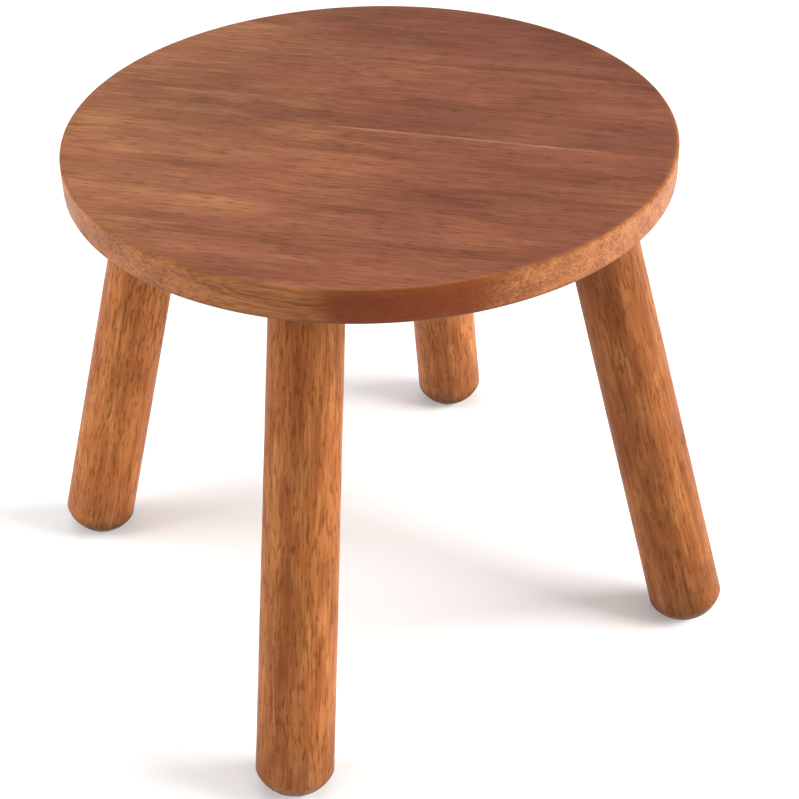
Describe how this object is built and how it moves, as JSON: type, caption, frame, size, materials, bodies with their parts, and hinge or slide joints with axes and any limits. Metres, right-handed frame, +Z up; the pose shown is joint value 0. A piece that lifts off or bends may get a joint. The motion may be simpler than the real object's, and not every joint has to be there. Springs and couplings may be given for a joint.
{
  "type": "stool",
  "caption": "Low round wooden stool: an edge-glued disc seat on splayed, tapered round legs with domed feet, screwed in from below.",
  "frame": {"origin": "on the floor under the middle of the seat", "axes": "+Z up; one leg in each quadrant, its foot on the diagonal between X and Y; the seat's grain runs along the diagonal from -X +Y to +X -Y"},
  "size_m": [0.3, 0.3, 0.28],
  "materials": {
    "seat_wood": "satin lacquer on reddish brown wood",
    "leg_wood": "satin lacquer on orange brown wood",
    "felt": "dark brown pressed felt",
    "insert_steel": "zinc plated",
    "bolt_steel": "zinc plated"
  },
  "bodies": {
    "root": {"seat_stave_1": "seat_wood", "seat_stave_2": "seat_wood", "seat_stave_3": "seat_wood", "seat_stave_4": "seat_wood", "leg_front_left": "leg_wood", "leg_front_right": "leg_wood", "leg_back_right": "leg_wood", "leg_back_left": "leg_wood", "felt_pad_front_left": "felt", "felt_pad_front_right": "felt", "felt_pad_back_right": "felt", "felt_pad_back_left": "felt", "insert_nut_front_left": "insert_steel", "insert_nut_front_right": "insert_steel", "insert_nut_back_right": "insert_steel", "insert_nut_back_left": "insert_steel", "hanger_bolt_front_left": "bolt_steel", "hanger_bolt_front_right": "bolt_steel", "hanger_bolt_back_right": "bolt_steel", "hanger_bolt_back_left": "bolt_steel"}
  },
  "joints": []
}
